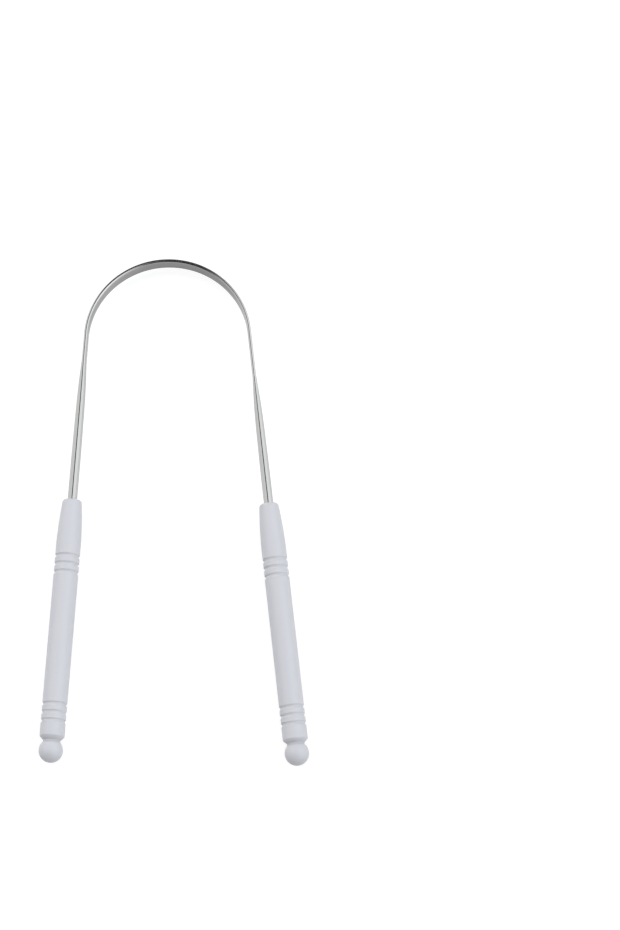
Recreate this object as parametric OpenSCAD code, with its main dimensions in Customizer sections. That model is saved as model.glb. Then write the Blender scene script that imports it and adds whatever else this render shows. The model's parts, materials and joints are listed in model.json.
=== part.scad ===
// Tongue scraper: one steel rod, bent into a U and pressed flat over the bend to make the blade,
// with a slim turned handle on each end.
// It lies flat on a table: X runs across, Y along towards the bend, Z up.
// The origin is on the table, under the middle of the whole length and width.

/* [Rod] */
// Diameter of the round rod
rod_d = 2.8; // [2.6:0.1:3.2]
// Radius of the bend, to the middle of the blade
bend_r = 24.6; // [18:0.2:32]
// Straight length from the bend to a handle, for a bend in the middle of the rod
leg_len = 52.9; // [50:0.1:75]
// Distance of the bend from the middle of the rod, which makes the right leg the longer one
bend_offset = 1.4; // [0:0.1:3]
// Angle by which each leg, with its handle, leans outwards
leg_lean = 4.9; // [0:0.1:10]

/* [Blade] */
// Width of the blade
blade_w = 5.3; // [3.6:0.1:7]
// Thickness of the blade
blade_t = 1.1; // [0.8:0.05:1.4]
// Share of the blade's thickness that the rounding of its long edges takes
edge_share = 0.9; // [0.1:0.05:0.95]
// Length over which a leg goes from round to flat
swage_len = 33; // [20:0.5:36]
// Length of leg that stays round in front of a handle
round_len = 8; // [2:0.5:10]
// Share of the straight blade that the left leg goes without, because it turns round sooner
left_short_share = 0.4; // [0:0.05:0.8]

/* [Tang in the handle] */
// Length of rod held inside a handle
tang_len = 30; // [20:0.5:50]
// Number of locking rings turned into the end of the rod
lock_count = 3; // [1:1:5]
// Distance from one locking ring to the next
lock_pitch = 2.4; // [1.6:0.1:3.2]
// Width of a locking ring
lock_w = 1.2; // [0.6:0.1:1.4]
// Depth of a locking ring
lock_depth = 0.3; // [0.1:0.05:0.5]
// Clearance between the rod and its socket
socket_gap = 0.02; // [0.01:0.01:0.06]

/* [Handle] */
// Diameter of the barrel
handle_d = 7.3; // [6.6:0.1:10]
// Diameter of the handle at its mouth, where the rod goes in
mouth_d = 5.8; // [5:0.1:6.4]
// Rounding of the edge round the mouth
mouth_round = 0.9; // [0.3:0.1:1]
// Length of the taper from the mouth to the barrel
taper_len = 13; // [6:0.5:20]
// How far the taper swells beyond a straight cone
taper_swell = 0.12; // [0:0.02:0.3]
// Length of the barrel
barrel_len = 57.9; // [50:0.5:90]

/* [Grooves] */
// Number of grooves in each set
groove_count = 3; // [1:1:4]
// Distance from one groove to the next
groove_pitch = 2.45; // [1.6:0.05:3]
// Width of a groove
groove_w = 1; // [0.6:0.05:1.3]
// Depth of a groove
groove_depth = 0.3; // [0.1:0.05:0.6]
// Distance from an end of the barrel to the middle of its first groove
groove_inset = 4.4; // [1.5:0.1:8]

/* [Ball end] */
// Diameter of the neck between the barrel and the ball
neck_d = 5.1; // [3.8:0.1:6]
// Length of the neck that shows, below the slope at the end of the barrel
neck_len = 0.5; // [0.2:0.1:3]
// Diameter of the ball
ball_d = 7.1; // [6.6:0.1:7.3]

/* [Hidden] */
$fn = 96;

left = -1;
right = 1;

// Steps in the taper's curve, and in the change from round to flat
taper_steps = 8;
swage_steps = 22;
corner_steps = 8;
// The change from round to flat starts slowly: this share of it comes evenly along the leg
even_share = 0.34;
// and the rest comes late, by this power of the distance
late_power = 3.2;
// The pressed stretch is this much slimmer than its neighbours and runs this far into them
seam = 0.01;
seam_overlap = 0.4;
// Slope on the end of the rod
tang_tip = 0.4;
// Overrun of a cut past the surface that it opens
overrun = 1;

rod_r = rod_d/2;
edge_r = edge_share*blade_t/2;
handle_r = handle_d/2;
mouth_r = mouth_d/2;
ball_r = ball_d/2;
neck_r = neck_d/2;

// Places along a handle, from its mouth towards the ball
barrel_end = taper_len + barrel_len;
slope_end = barrel_end + handle_r - neck_r;
ball_at = slope_end + neck_len + sqrt(ball_r*ball_r - neck_r*neck_r);

// Length of each leg, from the bend to the handle's mouth
function leg(side) = leg_len + side*bend_offset;

// Length of straight blade on each leg, and of the round rod between its pressed stretch and the handle
function blade_end_len(side) =
    (leg(side) - round_len - swage_len)*(side == left ? 1 - left_short_share : 1);
function round_end_len(side) = leg(side) - swage_len - blade_end_len(side);

// How far the handle on one side reaches from the middle of the bend, across and along
function reach_x(side) = bend_r*cos(leg_lean) + max(
    (leg(side) + ball_at)*sin(leg_lean) + ball_r,
    (leg(side) + barrel_end)*sin(leg_lean) + handle_r*cos(leg_lean));
function reach_y(side) = (leg(side) + ball_at)*cos(leg_lean) - bend_r*sin(leg_lean) + ball_r;

// The middle of the bend, seen from the origin
bend_x = (reach_x(left) - reach_x(right))/2;
bend_y = (max(reach_y(left), reach_y(right)) - bend_r - blade_t/2)/2;
rest_z = max(handle_r, ball_r, blade_w/2);

// Share of roundness left at a share u of the way from round to flat
function roundness(u) = (1 - even_share*u)*pow(cos(90*pow(u, late_power)), 2);

// Thickness, width and corner rounding of the rod with a share f of its roundness left
function rod_t(f) = blade_t + (rod_d - blade_t)*f;
function rod_w(f) = blade_w + (rod_d - blade_w)*f;
function rod_corner(f) = edge_r + (rod_r - edge_r)*f;

// Outline of the rod there, as points: a rectangle with round corners
function rod_points(f) = [
    for (corner = [0:3])
    for (step = [0:corner_steps])
    let (
        r = rod_corner(f),
        x = (rod_t(f)/2 - r)*(corner == 0 || corner == 3 ? 1 : -1),
        y = (rod_w(f)/2 - r)*(corner < 2 ? 1 : -1),
        a = 90*(corner + step/corner_steps)
    )
    [x + (r - seam)*cos(a), y + (r - seam)*sin(a)]
];

// Places what is drawn along +Z on the line of one leg, starting at the end of the bend
module on_leg(side) {
    translate([bend_x, bend_y, rest_z])
    rotate([0, 0, side*leg_lean])
    translate([side*bend_r, 0, 0])
    rotate([90, 0, 0])
    children();
}

// Outline of the flat blade, cut across
module blade_outline() {
    r = edge_r;
    square([blade_t - 2*r, blade_w], center = true);
    square([blade_t, blade_w - 2*r], center = true);
    for (x = [-1, 1], y = [-1, 1])
    translate([x*(blade_t/2 - r), y*(blade_w/2 - r)])
    circle(r = r);
}

// The curved blade over the bend
module blade_arc() {
    translate([bend_x, bend_y, rest_z])
    rotate([0, 0, leg_lean])
    rotate_extrude(angle = 180 - 2*leg_lean)
    translate([bend_r, 0])
    blade_outline();
}

// The pressed stretch of one leg: the straight end of the blade, then the change from flat to round.
// It begins inside the curved blade and ends inside the round rod, so that both joints are crossed.
module pressed_leg(side) {
    count = 4*(corner_steps + 1);
    start = blade_end_len(side);
    stations = concat(
        [[-seam_overlap, 1]],
        [for (i = [0:swage_steps - 1]) [start + swage_len*i/swage_steps, 1 - i/swage_steps]],
        [[start + swage_len + seam_overlap, 0]]);
    rings = len(stations);
    points = [
        for (s = stations)
        for (p = rod_points(roundness(s[1])))
        [p[0], p[1], s[0]]
    ];
    sides = [
        for (i = [0:rings - 2])
        for (j = [0:count - 1])
        let (
            a = i*count + j,
            b = i*count + (j + 1)%count
        )
        each [[a, a + count, b], [b, a + count, b + count]]
    ];
    first_end = [for (j = [0:count - 1]) j];
    last_end = [for (j = [count - 1:-1:0]) (rings - 1)*count + j];
    on_leg(side)
    polyhedron(points = points, faces = concat(sides, [first_end, last_end]), convexity = 4);
}

// Half outline of the rod's end: the last of the round leg, then the tang with its locking rings.
// grow widens it all round, for the socket that it sits in.
module tang_outline(before_mouth, grow = 0) {
    lock_r = (lock_w*lock_w/4 + lock_depth*lock_depth)/(2*lock_depth);
    tip = tang_len + grow;
    r = rod_r + grow;
    difference() {
        polygon([
            [0, -before_mouth],
            [r, -before_mouth],
            [r, tip - tang_tip],
            [r - tang_tip, tip],
            [0, tip]
        ]);
        for (i = [0:lock_count - 1])
        translate([rod_r - lock_depth + lock_r, tang_len - lock_pitch*(i + 1)])
        circle(r = lock_r - grow);
    }
}

// The round end of one leg, with the tang that the handle hides
module rod_end(side) {
    on_leg(side)
    translate([0, 0, leg(side)])
    rotate_extrude()
    tang_outline(round_end_len(side));
}

// Radius of the handle's taper at a share u of the way from mouth to barrel
function taper_r(u) = mouth_r + (handle_r - mouth_r)*u + 4*taper_swell*u*(1 - u);

// Half outline of a handle without its grooves, from the mouth to the ball
module handle_blank_outline() {
    polygon(concat(
        [[0, 0], [mouth_r - mouth_round, 0], [mouth_r - mouth_round, mouth_round]],
        [
            for (i = [0:taper_steps])
            let (u = i/taper_steps)
            [taper_r(u), mouth_round + (taper_len - mouth_round)*u]
        ],
        [
            [handle_r, barrel_end],
            [neck_r, slope_end],
            [neck_r, ball_at],
            [0, ball_at]
        ]));
    translate([mouth_r - mouth_round, mouth_round])
    circle(r = mouth_round);
    intersection() {
        translate([0, ball_at])
        circle(r = ball_r);
        translate([0, ball_at - ball_r])
        square([ball_r, ball_d]);
    }
}

// The round cutter for one groove, at a place along the handle
module groove_cut(at) {
    groove_r = (groove_w*groove_w/4 + groove_depth*groove_depth)/(2*groove_depth);
    translate([handle_r - groove_depth + groove_r, at])
    circle(r = groove_r);
}

// Half outline of a whole handle, with its grooves and its socket
module handle_outline() {
    difference() {
        handle_blank_outline();
        for (i = [0:groove_count - 1]) {
            groove_cut(taper_len + groove_inset + groove_pitch*i);
            groove_cut(barrel_end - groove_inset - groove_pitch*i);
        }
        tang_outline(overrun, socket_gap);
    }
}

module handle(side) {
    on_leg(side)
    translate([0, 0, leg(side)])
    rotate_extrude()
    handle_outline();
}

module scraper_bow() {
    color([0.78, 0.79, 0.80]) {
        blade_arc();
        for (side = [left, right]) {
            pressed_leg(side);
            rod_end(side);
        }
    }
}

module left_handle() {
    color([0.93, 0.94, 0.96])
    handle(left);
}

module right_handle() {
    color([0.93, 0.94, 0.96])
    handle(right);
}

scraper_bow();
left_handle();
right_handle();
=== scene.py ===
import json
import math

import bpy
from mathutils import Matrix, Vector


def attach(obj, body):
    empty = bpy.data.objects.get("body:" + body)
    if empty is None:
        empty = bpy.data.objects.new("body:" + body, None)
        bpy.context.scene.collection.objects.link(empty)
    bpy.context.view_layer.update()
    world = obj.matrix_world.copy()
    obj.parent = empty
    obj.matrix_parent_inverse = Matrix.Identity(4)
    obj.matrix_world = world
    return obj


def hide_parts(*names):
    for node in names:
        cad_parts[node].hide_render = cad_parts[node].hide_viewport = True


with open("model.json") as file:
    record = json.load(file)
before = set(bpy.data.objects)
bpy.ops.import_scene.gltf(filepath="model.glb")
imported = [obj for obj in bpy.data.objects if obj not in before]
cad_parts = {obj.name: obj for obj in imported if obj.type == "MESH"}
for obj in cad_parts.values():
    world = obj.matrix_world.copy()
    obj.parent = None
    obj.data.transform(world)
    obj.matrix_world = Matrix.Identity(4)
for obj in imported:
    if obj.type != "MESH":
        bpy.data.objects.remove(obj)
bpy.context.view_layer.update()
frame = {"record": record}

# A steel tongue scraper: a rod bent to a U and pressed to a blade over its bend, with a moulded
# white handle on each end. It lies flat on the floor, its bend towards +Y.
# Lengths are in metres, angles in radians.
MM = 0.001
LEFT, RIGHT = -1, 1

# The rod and its blade
ROD_D = 2.8 * MM
BEND_R = 24.6 * MM
BEND_OFFSET = 1.4 * MM
BLADE_W = 5.3 * MM
BLADE_T = 1.1 * MM
EDGE_SHARE = 0.9
EDGE_R = EDGE_SHARE * BLADE_T / 2
PRESS_LEN = 33 * MM
ROUND_LEN = 8 * MM
LEFT_SHORT_SHARE = 0.4
EVEN_SHARE = 0.34
LATE_POWER = 3.2

# The tang inside a handle, and the socket that fits it
TANG_LEN = 30 * MM
TANG_TIP = 0.4 * MM
LOCK_COUNT = 3
LOCK_PITCH = 2.4 * MM
LOCK_W = 1.2 * MM
LOCK_DEPTH = 0.3 * MM
SOCKET_GAP = 0.02 * MM

# The handle
HANDLE_D = 7.3 * MM
MOUTH_D = 5.8 * MM
MOUTH_ROUND = 0.9 * MM
TAPER_LEN = 13 * MM
TAPER_SWELL = 0.12 * MM
BARREL_LEN = 57.9 * MM
GROOVE_COUNT = 3
GROOVE_PITCH = 2.45 * MM
GROOVE_W = 1.0 * MM
GROOVE_DEPTH = 0.3 * MM
GROOVE_INSET = 4.4 * MM
NECK_D = 5.1 * MM
NECK_LEN = 0.5 * MM
BALL_D = 7.1 * MM
# Rounding of a groove's lips, of the barrel's far corner and of the neck's root
LIP = 0.28 * MM
CORNER_ROUND = 0.6 * MM
ROOT_ROUND = NECK_LEN / 4
# Skin taken off the rod, since the frame's facets cut its curve a little short
ROD_SKIN = 0.015 * MM
# Skin taken off a handle, so that the parting line of the mould stands no prouder than the frame's handle
SKIN = 0.03 * MM
PARTING_H = 0.025 * MM
# Turns of the points across the parting line, and the clear turn on each side of it, in degrees
PARTING_SIDES = (-1.6, -0.8, 0, 0.8, 1.6)
PARTING_CLEAR = PARTING_SIDES[-1] * 1.3

# How finely the rod is cut: points round it, then steps where it is pressed, where it is round,
# in the handle and at the locking rings
ROD_SIDES = 64
PRESSED_STEP = 0.4 * MM
ROUND_STEP = 1 * MM
TANG_STEP = 1.5 * MM
LOCK_STEP = 0.1 * MM

# How finely a handle is cut: points round it, then steps between its grooves, past them and in them
HANDLE_SIDES = 120
BARREL_STEP = 1 * MM
SHOULDER_STEP = 0.5 * MM
GROOVE_STEP = 0.05 * MM
# Steps in each of its curves, and the step of the mouth's rounding at which the parting line starts
MOUTH_STEPS = 14
TAPER_STEPS = 40
CORNER_STEPS = 16
ROOT_STEPS = 6
BALL_STEPS = 64
PARTING_START = 8

# Places along a handle, from its mouth
BARREL_END = TAPER_LEN + BARREL_LEN
SLOPE_END = BARREL_END + (HANDLE_D - NECK_D) / 2
BALL_START = SLOPE_END + NECK_LEN
BALL_AT = BALL_START + math.sqrt(BALL_D**2 - NECK_D**2) / 2
GRIP_AT = TAPER_LEN + BARREL_LEN / 2


class Number:
    """A number inside a node tree. Sums with it make that tree's Math nodes."""

    def __init__(self, tree, socket):
        self.tree, self.socket = tree, socket

    def math(self, operation, *others):
        node = self.tree.nodes.new("ShaderNodeMath")
        node.operation = operation
        for place, value in enumerate((self, *others)):
            put(self.tree, node.inputs[place], value)
        return Number(self.tree, node.outputs[0])

    def __add__(self, other):
        return self.math("ADD", other)

    def __sub__(self, other):
        return self.math("SUBTRACT", other)

    def __rsub__(self, other):
        return (self * -1) + other

    def __mul__(self, other):
        return self.math("MULTIPLY", other)

    def __truediv__(self, other):
        return self.math("DIVIDE", other)

    def __pow__(self, other):
        return self.math("POWER", other)

    def sin(self):
        return self.math("SINE")

    def cos(self):
        return self.math("COSINE")

    def sign(self):
        return self.math("SIGN")

    def between(self, low, high):
        return self.math("MAXIMUM", low).math("MINIMUM", high)


def put(tree, socket, value):
    """Sets a node's input, or links it to a number or socket of the same tree."""
    if isinstance(value, Number):
        tree.links.new(value.socket, socket)
    elif isinstance(value, bpy.types.NodeSocket):
        tree.links.new(value, socket)
    else:
        socket.default_value = value


def add(tree, kind, settings=(), **inputs):
    """Adds a node. Spaces in an input's name are written as underscores."""
    node = tree.nodes.new(kind)
    for name, value in dict(settings).items():
        setattr(node, name, value)
    for name, value in inputs.items():
        wanted = name.replace("_", " ")
        socket = next(s for s in node.inputs if s.name == wanted and s.enabled)
        put(tree, socket, value)
    return node


def vector(tree, x, y, z):
    return add(tree, "ShaderNodeCombineXYZ", X=x, Y=y, Z=z).outputs[0]


def soft_step(value, start, end):
    """Rises smoothly from 0 to 1 as a number goes from start to end."""
    node = add(value.tree, "ShaderNodeMapRange", {"interpolation_type": "SMOOTHSTEP"}, Value=value)
    node.inputs["From Min"].default_value = start
    node.inputs["From Max"].default_value = end
    return Number(value.tree, node.outputs[0])


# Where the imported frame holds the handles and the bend


def handle_lines():
    """The grips of the frame's record: for each side, a point on the handle's axis and its way out."""
    lines = {}
    for mount in frame["record"]["mounts"]:
        side = LEFT if mount["name"] == "left_grip" else RIGHT
        lines[side] = (Vector(mount["pos_m"]), Vector(mount["axis"]).normalized())
    return lines


def bend_centre(lines):
    """The point that lies one bend radius inside both handles' axes."""
    rows, sums = [], []
    for side, (point, axis) in lines.items():
        inward = Vector((-side * abs(axis.y), -abs(axis.x), 0))
        rows.append(inward.to_2d())
        sums.append(inward.dot(point) + BEND_R)
    flat = Matrix(rows).inverted() @ Vector(sums)
    return Vector((flat.x, flat.y, lines[LEFT][0].z))


LINES = handle_lines()
CENTRE = bend_centre(LINES)
LEAN = math.asin(abs(LINES[LEFT][1].x))
HALF_BEND = math.pi / 2 - LEAN


def mouth_at(side):
    point, axis = LINES[side]
    return point - axis * GRIP_AT


def leg_len(side):
    """Length of rod from the end of the bend to the handle's mouth."""
    axis = LINES[side][1]
    return (mouth_at(side) - CENTRE).dot(axis)


LEG_LEN = (leg_len(LEFT) + leg_len(RIGHT)) / 2
HALF_ROD = BEND_R * HALF_BEND + LEG_LEN + TANG_LEN
MOUTH_ON_ROD = HALF_ROD - TANG_LEN
FLAT_HALF = MOUTH_ON_ROD - ROUND_LEN - PRESS_LEN
LEFT_SHORT = LEFT_SHORT_SHARE * (leg_len(LEFT) - ROUND_LEN - PRESS_LEN)


# Stations along the rod and outlines of the turned shapes


def steps(start, end, size):
    """Evenly spaced values from start up to, but not including, end."""
    count = max(1, round((end - start) / size))
    return [start + (end - start) * i / count for i in range(count)]


def bottom_radius(width, depth):
    """Radius of the round bottom of a groove."""
    return (width**2 / 4 + depth**2) / (2 * depth)


def scoop(distance, width, depth):
    """Depth of a round-bottomed groove at a distance from its middle."""
    if abs(distance) >= width / 2:
        return 0.0
    radius = bottom_radius(width, depth)
    return depth - radius + math.sqrt(radius**2 - distance**2)


def lock_places():
    return [TANG_LEN - LOCK_PITCH * (i + 1) for i in range(LOCK_COUNT)]


def tang_cut(depth_in):
    """How much slimmer than the rod the tang is, at a depth inside the handle."""
    locks = sum(scoop(depth_in - place, LOCK_W, LOCK_DEPTH) for place in lock_places())
    return locks + max(0.0, depth_in - (TANG_LEN - TANG_TIP))


def tang_stations():
    """Depths inside the handle, close together at the locking rings."""
    first = min(lock_places()) - LOCK_W
    slope = TANG_LEN - TANG_TIP
    return steps(0, first, TANG_STEP) + steps(first, slope, LOCK_STEP) + [slope, TANG_LEN]


def straight_rod():
    """The rod before it is bent: a line along X, with each point's cut into the round rod."""
    round_at = MOUTH_ON_ROD - ROUND_LEN
    half = [(d, ROD_SKIN) for d in steps(0, round_at, PRESSED_STEP)]
    half += [(d, ROD_SKIN) for d in steps(round_at, MOUTH_ON_ROD, ROUND_STEP)]
    half += [(MOUTH_ON_ROD + d, tang_cut(d) + ROD_SKIN) for d in tang_stations()]
    line = [(-d, cut) for d, cut in reversed(half[1:])] + half
    mesh = bpy.data.meshes.new("straight_rod")
    mesh.from_pydata([(d, 0, 0) for d, _ in line], [(i, i + 1) for i in range(len(line) - 1)], [])
    cuts = mesh.attributes.new("cut", "FLOAT", "POINT")
    cuts.data.foreach_set("value", [cut for _, cut in line])
    return mesh


# The bow: the straight rod, pressed flat and bent by a tree of nodes


def bow_tree(finish):
    """The tree that presses and bends the rod, and the value of each of its named inputs."""
    tree = bpy.data.node_groups.new("press_and_bend", "GeometryNodeTree")
    face = tree.interface
    face.new_socket("Geometry", in_out="INPUT", socket_type="NodeSocketGeometry")
    sizes = {
        "Rod Diameter": ROD_D,
        "Blade Width": BLADE_W,
        "Blade Thickness": BLADE_T,
        "Edge Rounding": EDGE_R,
        "Flat Half Length": FLAT_HALF,
        "Left Shortening": LEFT_SHORT,
        "Press Length": PRESS_LEN,
        "Bend Radius": BEND_R,
        "Half Bend": HALF_BEND,
        "Bend Offset": BEND_OFFSET,
    }
    for name, value in sizes.items():
        face.new_socket(name, in_out="INPUT", socket_type="NodeSocketFloat").default_value = value
    face.new_socket("Sides", in_out="INPUT", socket_type="NodeSocketInt").default_value = ROD_SIDES
    face.new_socket("Geometry", in_out="OUTPUT", socket_type="NodeSocketGeometry")
    given = tree.nodes.new("NodeGroupInput")
    size = {name: Number(tree, given.outputs[name]) for name in sizes}

    line = add(tree, "GeometryNodeMeshToCurve", Mesh=given.outputs["Geometry"]).outputs[0]
    place = add(tree, "GeometryNodeInputPosition").outputs[0]
    along = Number(tree, add(tree, "ShaderNodeSeparateXYZ", Vector=place).outputs["X"])
    cut = add(tree, "GeometryNodeInputNamedAttribute", {"data_type": "FLOAT"}, Name="cut")

    # The bend: the middle stretch follows the circle, and each end runs on straight from it
    from_crown = along + size["Bend Offset"]
    angle = (from_crown / size["Bend Radius"]).between(size["Half Bend"] * -1, size["Half Bend"])
    straight = from_crown - angle * size["Bend Radius"]
    bent = vector(
        tree,
        size["Bend Radius"] * angle.sin() + straight * angle.cos() + CENTRE.x,
        size["Bend Radius"] * angle.cos() - straight * angle.sin() + CENTRE.y,
        CENTRE.z,
    )
    outward = vector(tree, angle.sin(), angle.cos(), 0)

    kept = tree.nodes.new("GeometryNodeCaptureAttribute")
    put(tree, kept.inputs["Geometry"], line)
    captured = (
        ("FLOAT", "along", along),
        ("FLOAT", "cut", cut.outputs[0]),
        ("VECTOR", "bent", bent),
        ("VECTOR", "outward", outward),
    )
    for kind, name, value in captured:
        kept.capture_items.new(kind, name)
        put(tree, kept.inputs[name], value)

    # One ring of points round the rod, each with its own angle
    ring = add(
        tree, "GeometryNodeCurvePrimitiveCircle", {"mode": "RADIUS"},
        Resolution=given.outputs["Sides"], Radius=ROD_D / 2,
    )
    index = Number(tree, tree.nodes.new("GeometryNodeInputIndex").outputs[0])
    around = tree.nodes.new("GeometryNodeCaptureAttribute")
    around.capture_items.new("FLOAT", "turn")
    put(tree, around.inputs["Geometry"], ring.outputs[0])
    put(tree, around.inputs["turn"], (index + 0.5) / Number(tree, given.outputs["Sides"]) * (2 * math.pi))

    swept = add(
        tree, "GeometryNodeCurveToMesh",
        Curve=kept.outputs["Geometry"], Profile_Curve=around.outputs["Geometry"], Fill_Caps=True,
    ).outputs[0]

    # The press: roundness falls from 1 on the leg to 0 on the blade
    along, cut = (Number(tree, kept.outputs[name]) for name in ("along", "cut"))
    flat = size["Flat Half Length"] - (along.sign() * -1).between(0, 1) * size["Left Shortening"]
    far = (along.math("ABSOLUTE") - flat) / size["Press Length"]
    pressed = 1 - far.between(0, 1)
    fade = ((pressed ** LATE_POWER) * (math.pi / 2)).cos()
    roundness = (1 - pressed * EVEN_SHARE) * fade * fade
    thick = size["Blade Thickness"] + (size["Rod Diameter"] - size["Blade Thickness"]) * roundness
    wide = size["Blade Width"] + (size["Rod Diameter"] - size["Blade Width"]) * roundness
    corner = size["Edge Rounding"] + (size["Rod Diameter"] / 2 - size["Edge Rounding"]) * roundness
    turn = Number(tree, around.outputs["turn"])
    out = turn.cos().sign() * (thick / 2 - corner) + turn.cos() * (corner - cut)
    up = turn.sin().sign() * (wide / 2 - corner) + turn.sin() * (corner - cut)

    def scaled(way, length):
        node = add(tree, "ShaderNodeVectorMath", {"operation": "SCALE"}, Vector=way, Scale=length)
        return node.outputs[0]

    def joined(a, b):
        node = tree.nodes.new("ShaderNodeVectorMath")
        put(tree, node.inputs[0], a)
        put(tree, node.inputs[1], b)
        return node.outputs[0]

    on_axis = joined(kept.outputs["bent"], scaled(kept.outputs["outward"], out))
    placed = add(
        tree, "GeometryNodeSetPosition",
        Geometry=swept, Position=joined(on_axis, vector(tree, 0, 0, up)),
    ).outputs[0]
    stored = add(
        tree, "GeometryNodeStoreNamedAttribute", {"data_type": "FLOAT_VECTOR", "domain": "POINT"},
        Geometry=placed, Name="rod_space", Value=vector(tree, along, out, up),
    ).outputs[0]
    smooth = add(tree, "GeometryNodeSetShadeSmooth", Geometry=stored, Shade_Smooth=True).outputs[0]
    real = add(tree, "GeometryNodeRealizeInstances", Geometry=smooth).outputs[0]
    done = add(tree, "GeometryNodeSetMaterial", Geometry=real, Material=finish).outputs[0]
    put(tree, tree.nodes.new("NodeGroupOutput").inputs["Geometry"], done)
    return tree, {**sizes, "Sides": ROD_SIDES}


def scraper_bow(finish):
    tree, values = bow_tree(finish)
    maker = bpy.data.objects.new("bow_maker", straight_rod())
    bpy.context.scene.collection.objects.link(maker)
    modifier = maker.modifiers.new("press_and_bend", "NODES")
    modifier.node_group = tree
    for item in tree.interface.items_tree:
        if item.in_out == "INPUT" and item.name in values:
            modifier[item.identifier] = values[item.name]
    shape = maker.evaluated_get(bpy.context.evaluated_depsgraph_get())
    mesh = bpy.data.meshes.new_from_object(shape)
    mesh.name = "steel_bow"
    bpy.data.objects.remove(maker)
    bow = bpy.data.objects.new("steel_bow", mesh)
    bpy.context.scene.collection.objects.link(bow)
    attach(bow, "root")
    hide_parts("scraper_bow")


# The handles, turned from one outline


def arc(middle, radius, start, end, count):
    """Points (distance along, radius out) on a circle, by its angle from the way along."""
    points = []
    for i in range(count + 1):
        angle = start + (end - start) * i / count
        points.append((middle[0] + radius * math.cos(angle), middle[1] + radius * math.sin(angle)))
    return points


def groove_places():
    near = [TAPER_LEN + GROOVE_INSET + GROOVE_PITCH * i for i in range(GROOVE_COUNT)]
    far = [BARREL_END - GROOVE_INSET - GROOVE_PITCH * i for i in range(GROOVE_COUNT)]
    return near + far[::-1]


def taper_radius(share):
    return (MOUTH_D + (HANDLE_D - MOUTH_D) * share) / 2 + 4 * TAPER_SWELL * share * (1 - share)


def soft_groove(distance):
    """Depth of a groove whose lips are rounded, at a distance from its middle."""
    if abs(distance) > GROOVE_W / 2 + LIP:
        return 0.0
    radius = bottom_radius(GROOVE_W, GROOVE_DEPTH)
    depth = GROOVE_DEPTH - radius + math.sqrt(radius**2 - min(abs(distance), radius) ** 2)
    share = min(1.0, max(0.0, 0.5 + 0.5 * depth / LIP))
    return depth * share + LIP * share * (1 - share)


def fillet(before, corner, after, radius, count):
    """Points that round a corner of an outline."""
    corner, before, after = Vector(corner), Vector(before), Vector(after)
    a, b = (before - corner).normalized(), (after - corner).normalized()
    half = a.angle(b) / 2
    middle = corner + (a + b).normalized() * radius / math.sin(half)
    reach = radius / math.tan(half)
    start, end = corner + a * reach - middle, corner + b * reach - middle
    return [tuple(middle + start.slerp(end, i / count) * radius) for i in range(count + 1)]


def socket_outline():
    """The blind socket from its bottom to the mouth, one gap clear of the tang."""
    wall = [(d, ROD_D / 2 - tang_cut(d) + SOCKET_GAP) for d in reversed(tang_stations())]
    return [(TANG_LEN + SOCKET_GAP, 0.0), (TANG_LEN + SOCKET_GAP, wall[0][1])] + wall[1:]


def handle_outline():
    """The whole half outline: up the socket, over the mouth, down the handle, round the ball."""
    outline = socket_outline()
    mouth_edge = (MOUTH_ROUND, MOUTH_D / 2 - MOUTH_ROUND)
    outline += arc(mouth_edge, MOUTH_ROUND, math.pi, math.pi / 2, MOUTH_STEPS)
    for i in range(1, TAPER_STEPS):
        share = i / TAPER_STEPS
        outline.append((MOUTH_ROUND + (TAPER_LEN - MOUTH_ROUND) * share, taper_radius(share)))
    at = TAPER_LEN
    reach = GROOVE_W / 2 + LIP
    for place in groove_places():
        outline += [(d, HANDLE_D / 2) for d in steps(at, place - reach, BARREL_STEP)]
        cut = steps(-reach, reach, GROOVE_STEP)
        outline += [(place + d, HANDLE_D / 2 - soft_groove(d)) for d in cut]
        at = place + reach
    outline += [(d, HANDLE_D / 2) for d in steps(at, BARREL_END - CORNER_ROUND, SHOULDER_STEP)]
    shoulder, root = (BARREL_END, HANDLE_D / 2), (SLOPE_END, NECK_D / 2)
    outline += fillet((at, HANDLE_D / 2), shoulder, root, CORNER_ROUND, CORNER_STEPS)
    outline += fillet(shoulder, root, (BALL_START, NECK_D / 2), ROOT_ROUND, ROOT_STEPS)
    start = math.pi - math.asin(NECK_D / BALL_D)
    outline += arc((BALL_AT, 0), BALL_D / 2, start, 0, BALL_STEPS)
    return outline[:-1] + [(outline[-1][0], 0.0)]


def turn_angles(count):
    """Even turns, with a few more on each side of the mould's parting line."""
    even = [360 * j / count for j in range(count)]
    clear = [a for a in even if min(a % 180, 180 - a % 180) > PARTING_CLEAR]
    extra = [(start + a) % 360 for start in (0, 180) for a in PARTING_SIDES]
    return [math.radians(a) for a in sorted(clear + extra)]


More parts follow.
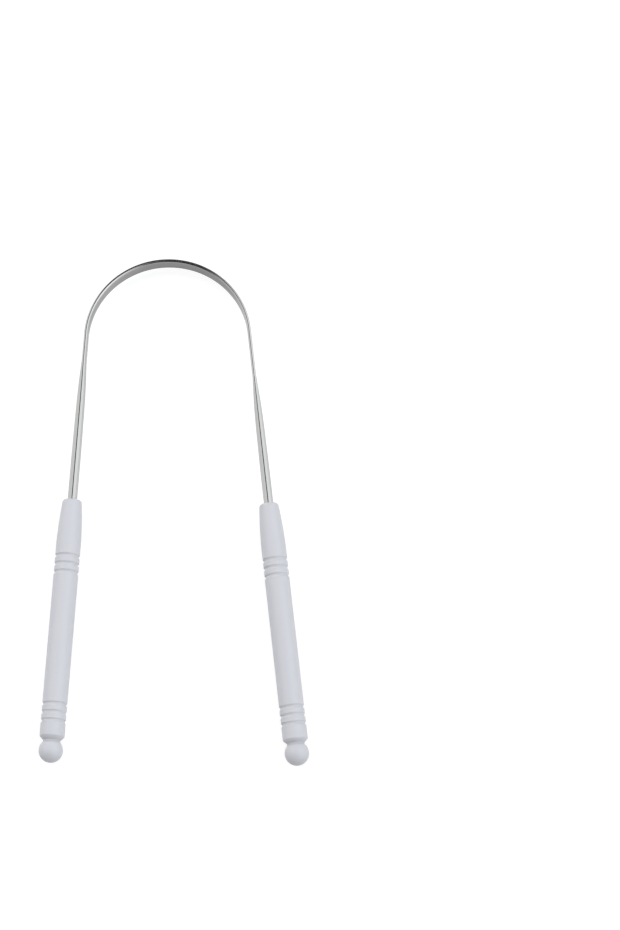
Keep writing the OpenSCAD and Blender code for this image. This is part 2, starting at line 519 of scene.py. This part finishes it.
def turned(name, outline, angles, parting_from):
    """A closed solid turned from a half outline whose two ends lie on the axis, along +Z.

    The parting line runs from one point of the outline, given by its number, to the outline's end.
    """
    points, faces = [(0, 0, outline[0][0])], []
    rings = outline[1:-1]
    sides = len(angles)
    for number, (at, radius) in enumerate(rings, 1):
        for angle in angles:
            on_line = abs(math.sin(angle)) < 1e-6
            proud = PARTING_H if number >= parting_from and on_line else 0
            # The line fades out over the last millimetre before the axis
            out = radius + proud * min(1, radius / MM)
            points.append((out * math.cos(angle), out * math.sin(angle), at))
    points.append((0, 0, outline[-1][0]))
    last = len(points) - 1
    for j in range(sides):
        k = (j + 1) % sides
        faces.append((0, 1 + k, 1 + j))
        faces.append((last, last - sides + j, last - sides + k))
        for i in range(len(rings) - 1):
            a, b = 1 + i * sides, 1 + (i + 1) * sides
            faces.append((a + j, a + k, b + k, b + j))
    mesh = bpy.data.meshes.new(name)
    mesh.from_pydata(points, [], faces)
    space = mesh.attributes.new("handle_space", "FLOAT_VECTOR", "POINT")
    space.data.foreach_set("vector", [c for p in points for c in p])
    mesh.polygons.foreach_set("use_smooth", [True] * len(faces))
    return mesh


def skinned(at, radius):
    """A point of the outline moved in by the skin.

    It moves towards the axis, or on the far half of the ball towards the ball's middle.
    """
    past = max(0.0, at - BALL_AT)
    share = 1 - SKIN / math.hypot(past, radius)
    return at - past + past * share, radius * share


def handle(name, side, node, finish):
    inner = len(socket_outline())
    outline = handle_outline()
    outline = outline[:inner] + [skinned(at, radius) for at, radius in outline[inner:]]
    mesh = turned(name, outline, turn_angles(HANDLE_SIDES), inner + PARTING_START)
    axis = LINES[side][1]
    turn = Vector((0, 0, 1)).rotation_difference(axis).to_matrix().to_4x4()
    mesh.transform(Matrix.Translation(mouth_at(side)) @ turn)
    mesh.materials.append(finish)
    piece = bpy.data.objects.new(name, mesh)
    bpy.context.scene.collection.objects.link(piece)
    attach(piece, "root")
    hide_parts(node)


# Finishes
STEEL_DARK = (0.49, 0.49, 0.485)
STEEL_LIGHT = (0.56, 0.56, 0.555)
STEEL_WORN = (0.64, 0.64, 0.63)
STEEL_HAZE = (0.5, 0.505, 0.51)
# Colour of the dark reflection painted on the crown
STEEL_CROWN_DARK_REFLECTION = (0.285, 0.285, 0.285)
PLASTIC_COOL = (0.593, 0.601, 0.652)
PLASTIC_WARM = (0.617, 0.617, 0.648)
# Colour of the shade painted in the grooves and the neck, and of the grime on the parting line
PLASTIC_SHADE_AND_GRIME = (0.47, 0.47, 0.5)
# Tint of the steel's reflections at a grazing view
STEEL_GRAZING = (0.55, 0.55, 0.55, 1)
# Roughness before the patterns change it, and depth of the patterns' bump
STEEL_ROUGH = 0.05
STEEL_BUMP = 0.002 * MM
PLASTIC_ROUGH = 0.36
PLASTIC_BUMP = 0.012 * MM
# The stretch at the crown with a painted dark reflection, in millimetres along the rod: its middle, and how
# far from that it starts and ends to fade
CROWN_AT = 3
CROWN_FADE = (6, 32)
# Shares of the crown's painted dark reflection at its middle, of the haze that it is without, and of the
# haze's colour
DARK_REFLECTION_SHARE = 0.95
CROWN_CLEAR = 0.8
HAZE_SHARE = 0.5
# Where the worn band along the blade's edges starts and is full, in millimetres from the edge,
# and the share of its colour
WORN_START, WORN_FULL = 0.55, 0.1
WORN_SHARE = 0.8
# Shares of painted shade in the grooves and in the neck, and of grime on the parting line
SHADE_IN_GROOVES = 0.2
SHADE_IN_NECK = 0.75
GRIME_ON_LINE = 0.25
# How far each handle's patterns are shifted along it, one way or the other, in millimetres
HANDLES_APART = 100


def new_material(name):
    material = bpy.data.materials.new(name)
    material.use_nodes = True
    return material, material.node_tree, material.node_tree.nodes["Principled BSDF"]


def own_space(tree, name):
    """The place of a point in its piece's own space, in millimetres, as three numbers."""
    stored = add(tree, "ShaderNodeAttribute", {"attribute_name": name}).outputs["Vector"]
    in_mm = add(tree, "ShaderNodeVectorMath", {"operation": "SCALE"}, Vector=stored, Scale=1 / MM)
    parts = add(tree, "ShaderNodeSeparateXYZ", Vector=in_mm.outputs[0])
    return tuple(Number(tree, parts.outputs[way]) for way in "XYZ")


def noise(tree, place, scale, detail, rough=0.5):
    """Noise of one scale, from 0 to 1 with 0.5 as its mean."""
    node = add(tree, "ShaderNodeTexNoise", Vector=place, Scale=scale, Detail=detail, Roughness=rough)
    return Number(tree, node.outputs[0])


def blend(tree, share, first, second):
    """A colour between two, by a share from 0 to 1."""
    node = add(tree, "ShaderNodeMix", {"data_type": "RGBA"}, Factor=share)
    # A Mix node has sockets of every kind under the same names, so its colours go by number
    for socket, colour in ((node.inputs[6], first), (node.inputs[7], second)):
        put(tree, socket, colour + (1,) if isinstance(colour, tuple) else colour)
    return node.outputs[2]


def bump(tree, shader, height, depth):
    """Raises the surface by a pattern times a depth in metres."""
    node = add(tree, "ShaderNodeBump", Height=height, Distance=depth, Strength=1.0)
    put(tree, shader.inputs["Normal"], node.outputs[0])


def polished_steel():
    """Rod drawn and then polished along its length, with the faint haze of handling."""
    material, tree, shader = new_material("polished_steel")
    shader.inputs["Metallic"].default_value = 1.0
    shader.inputs["Specular Tint"].default_value = STEEL_GRAZING
    along, out, up = own_space(tree, "rod_space")
    # Each place in a pattern is multiplied by its waves of noise to a millimetre that way.
    # Polishing lines run along the rod: long and very narrow
    fine = noise(tree, vector(tree, along * 0.35, out * 14, up * 14), 1.0, 4.0, 0.65)
    broad = noise(tree, vector(tree, along * 0.12, out * 3.2, up * 3.2), 1.0, 2.0)
    # Haze and fingerprints: soft patches of a few millimetres
    haze = soft_step(noise(tree, vector(tree, along * 0.22, out, up * 0.5), 1.0, 5.0, 0.6), 0.46, 0.68)
    # Short scratches, slanted across the blade by use and cleaning
    slant = noise(tree, vector(tree, along * 5 + up * 2.5, out, up * 0.35 - along * 0.2), 1.0, 1.0)
    scratch = soft_step(slant, 0.66, 0.7)
    # The blade's two long edges have worn brighter and a little rougher
    blade_edge = BLADE_W / MM / 2
    edge = soft_step(up.math("ABSOLUTE"), blade_edge - WORN_START, blade_edge - WORN_FULL)
    wear = edge * noise(tree, vector(tree, along * 1.6, out * 2, up * 4), 1.0, 3.0)
    colour = blend(tree, fine, STEEL_DARK, STEEL_LIGHT)
    colour = blend(tree, wear * WORN_SHARE, colour, STEEL_WORN)
    # The crown is made the dullest stretch: a dark reflection is painted into its colour
    dark_reflection_mask = 1 - soft_step((along - CROWN_AT).math("ABSOLUTE"), *CROWN_FADE)
    colour = blend(tree, dark_reflection_mask * DARK_REFLECTION_SHARE, colour, STEEL_CROWN_DARK_REFLECTION)
    haze_seen = haze * (1 - dark_reflection_mask * CROWN_CLEAR) * HAZE_SHARE
    put(tree, shader.inputs["Base Color"], blend(tree, haze_seen, colour, STEEL_HAZE))
    patterns = fine * 0.06 + broad * 0.05 + haze * 0.05 + scratch * 0.1 + wear * 0.12
    put(tree, shader.inputs["Roughness"], patterns + STEEL_ROUGH)
    bump(tree, shader, fine * 0.6 + broad * 0.4 - scratch * 0.3, STEEL_BUMP)
    return material


def white_plastic():
    """Satin moulded plastic, a little bluish, with shade painted into its grooves and its neck, and greyer
    on its parting line.
    """
    material, tree, shader = new_material("white_plastic")
    across, up, down = own_space(tree, "handle_space")
    # Each handle has its own stretch of the patterns, far from the other's
    place = add(tree, "ShaderNodeTexCoord").outputs["Object"]
    in_tool = add(tree, "ShaderNodeSeparateXYZ", Vector=place)
    length = down + Number(tree, in_tool.outputs["X"]).sign() * HANDLES_APART
    # The fine spark-eroded skin of the mould, and the long, slow waves of the moulding
    grain = noise(tree, vector(tree, across, up, length), 5.0, 3.0, 0.6)
    waves = noise(tree, vector(tree, across, up, length * 0.35), 0.5, 2.0)
    # Patches where hands have polished the satin
    rubbed = soft_step(noise(tree, vector(tree, across, up, length * 0.4), 0.35, 4.0, 0.55), 0.45, 0.65)
    # Shade is painted into the grooves and the neck, and fades where the ball begins
    barrel_start, barrel_end, ball_start = TAPER_LEN / MM, BARREL_END / MM, BALL_START / MM
    radius = (across * across + up * up) ** 0.5
    on_barrel = soft_step(down, barrel_start, barrel_start + 1)
    on_barrel = on_barrel * (1 - soft_step(down, barrel_end - 1, barrel_end))
    deep = soft_step(HANDLE_D / MM / 2 - radius, 0.05, 0.3) * on_barrel
    in_neck = soft_step(down, barrel_end + 0.3, SLOPE_END / MM)
    in_neck = in_neck * (1 - soft_step(down, ball_start, ball_start + 0.6))
    # The parting line has taken a little grime, for about a tenth of a millimetre on each side
    seam = 1 - soft_step(up.math("ABSOLUTE"), 0.04, 0.14)
    colour = blend(tree, waves, PLASTIC_COOL, PLASTIC_WARM)
    painted_shade = deep * SHADE_IN_GROOVES + in_neck * SHADE_IN_NECK
    colour = blend(tree, painted_shade, colour, PLASTIC_SHADE_AND_GRIME)
    put(tree, shader.inputs["Base Color"], blend(tree, seam * GRIME_ON_LINE, colour, PLASTIC_SHADE_AND_GRIME))
    patterns = grain * 0.1 + waves * 0.06 - rubbed * 0.09 + deep * 0.05
    put(tree, shader.inputs["Roughness"], patterns + PLASTIC_ROUGH)
    bump(tree, shader, grain * 0.7 + waves * 0.3, PLASTIC_BUMP)
    return material


# The stage: floor, light and camera

# The camera stands this far from what it points at, tipped towards the handles from straight above
VIEW_DISTANCE = 0.8
VIEW_TILT = math.radians(16.2)
VIEW_ROLL = math.radians(-1.56)
# What it points at, seen from the middle of the bend, and its lens on a picture of 36 mm width
AIM_FROM_BEND = Vector((41.68 * MM, -40.29 * MM, 0))
LENS = 156.4
PICTURE_W = 36
# Half the floor's width, its colour, and the glow that only the rays of shown() see
FLOOR_HALF = 3.0
FLOOR_COLOUR = 0.38
FLOOR_LIFT = 0.75
# Brightness of the tent's slot, of its right wall, bright cloth and left wall above that, and of its foot
TENT_SLOT = 0.05
TENT_RIGHT = 1.3
TENT_PANEL = 0.7
TENT_LEFT = 1.0
TENT_FOOT = 0.95
# Tint of the right wall
TENT_COOL = (0.965, 0.985, 1.0)
# Places in the tent are parts of a way of length 1: along X to the right, along Y to the far side, and up.
# Where the right wall starts and is full, and the left wall, measured to the left
SLOT_RIGHT = (-0.01, 0.1)
SLOT_LEFT = (0.25, 0.36)
# Where the slot's far end and near end start and are full, measured to the far side and to the near side
SLOT_FAR_END = (0.38, 0.75)
SLOT_NEAR_END = (0.05, 0.8)
# How much wider each side of the slot gets at its ends, and at its near end on the left
SLOT_FLARE = 0.3
SLOT_FLARE_LEFT = 0.55
# Heights between which the foot ends, and the white backdrop
FOOT_TOP = (0.13, 0.3)
BACKDROP_TOP = (0.15, 0.2)
# The share of the foot's brightness that is missing where it is open, and that its bright corner adds
TENT_GAP = 0.85
TENT_CORNER = 0.7
# The key light: the way to it, its distance, its width and the brightness that it gives a lit face
KEY_WAY = Vector((-0.47, 0.55, 0.75))
KEY_DISTANCE = 1.2
KEY_WIDTH = 1.4
KEY_LEVEL = 0.4


def camera():
    data = bpy.data.cameras.new("camera")
    data.sensor_fit, data.sensor_width, data.lens = "HORIZONTAL", PICTURE_W, LENS
    data.clip_start, data.clip_end = 0.01, 20
    eye = bpy.data.objects.new("camera", data)
    bpy.context.scene.collection.objects.link(eye)
    bpy.context.scene.camera = eye
    turn = Matrix.Rotation(VIEW_ROLL, 4, "Z") @ Matrix.Rotation(VIEW_TILT, 4, "X")
    aim = Matrix.Translation(CENTRE + AIM_FROM_BEND)
    eye.matrix_world = aim @ turn @ Matrix.Translation((0, 0, VIEW_DISTANCE))


def shown(tree):
    """1 for the rays that show a background: the camera's, and those off shiny surfaces or through glass."""
    path = tree.nodes.new("ShaderNodeLightPath")
    rays = Number(tree, path.outputs["Is Camera Ray"]) + Number(tree, path.outputs["Is Glossy Ray"])
    return (rays + Number(tree, path.outputs["Is Transmission Ray"])).math("MINIMUM", 1)


def floor():
    mesh = bpy.data.meshes.new("floor")
    half = FLOOR_HALF
    corners = [(-half, -half, 0), (half, -half, 0), (half, half, 0), (-half, half, 0)]
    mesh.from_pydata(corners, [], [(0, 1, 2, 3)])
    ground = bpy.data.objects.new("floor", mesh)
    bpy.context.scene.collection.objects.link(ground)
    material, tree, shader = new_material("floor")
    shader.inputs["Base Color"].default_value = (FLOOR_COLOUR,) * 3 + (1,)
    shader.inputs["Roughness"].default_value = 1.0
    shader.inputs["Specular IOR Level"].default_value = 0.0
    shader.inputs["Emission Color"].default_value = (1, 1, 1, 1)
    put(tree, shader.inputs["Emission Strength"], shown(tree) * FLOOR_LIFT)
    mesh.materials.append(material)


def light_tent():
    """Soft light from all round, with a slot over the object that is left dark."""
    world = bpy.data.worlds.new("light_tent")
    bpy.context.scene.world = world
    world.use_nodes = True
    tree = world.node_tree
    way = add(tree, "ShaderNodeTexCoord").outputs["Generated"]
    parts = add(tree, "ShaderNodeSeparateXYZ", Vector=way)
    x, y, z = (Number(tree, parts.outputs[name]) for name in "XYZ")
    # The slot runs over the object along Y, and is wider towards both of its ends
    far_end = soft_step(y, *SLOT_FAR_END)
    near_end = soft_step(y * -1, *SLOT_NEAR_END)
    right = soft_step(x - (far_end + near_end) * SLOT_FLARE, *SLOT_RIGHT)
    left = soft_step(x * -1 - far_end * SLOT_FLARE - near_end * SLOT_FLARE_LEFT, *SLOT_LEFT)
    # The brightest cloth hangs in the near corner on the right
    panel = soft_step(x, 0.42, 0.6) * soft_step(y * -1, 0.05, 0.3)
    walls = right * TENT_RIGHT + panel * TENT_PANEL + left * TENT_LEFT + TENT_SLOT
    # The band round its foot is open at the back, and at the front up to the right-hand corner
    back = soft_step(y, 0.5, 0.85)
    front = soft_step(y * -1, 0.35, 0.65) * (1 - soft_step(x, 0.1, 0.45))
    corner = soft_step(x, 0.3, 0.6) * soft_step(y * -1, 0.1, 0.5)
    foot = (1 - (back + front) * TENT_GAP + corner * TENT_CORNER) * TENT_FOOT
    near_floor = 1 - soft_step(z, *FOOT_TOP)
    level = walls * (1 - near_floor) + near_floor * foot
    # A white backdrop shows low all round. Matt surfaces get no light from it
    backdrop = (1 - soft_step(z, *BACKDROP_TOP)) * shown(tree)
    level = level * (1 - backdrop) + backdrop
    colour = blend(tree, right * (1 - backdrop), (1.0, 1.0, 1.0), TENT_COOL)
    put(tree, tree.nodes["Background"].inputs["Color"], colour)
    put(tree, tree.nodes["Background"].inputs["Strength"], level)


def key_light():
    """One soft lamp from the far left. Grooves and balls are darker where they face away from it."""
    data = bpy.data.lights.new("key_light", "AREA")
    data.shape, data.size = "DISK", KEY_WIDTH
    # The power at which a white face that looks at the disk has the level's brightness
    data.energy = KEY_LEVEL * math.pi**2 * (KEY_DISTANCE**2 + KEY_WIDTH**2 / 4)
    lamp = bpy.data.objects.new("key_light", data)
    bpy.context.scene.collection.objects.link(lamp)
    way = KEY_WAY.normalized()
    lamp.rotation_euler = way.to_track_quat("Z", "Y").to_euler()
    lamp.location = way * KEY_DISTANCE
    # It stays out of the steel's reflections
    lamp.visible_glossy = False


scraper_bow(polished_steel())
plastic = white_plastic()
handle("left_grip", LEFT, "left_handle", plastic)
handle("right_grip", RIGHT, "right_handle", plastic)
floor()
light_tent()
key_light()
camera()
bpy.context.scene.view_settings.view_transform = "Standard"
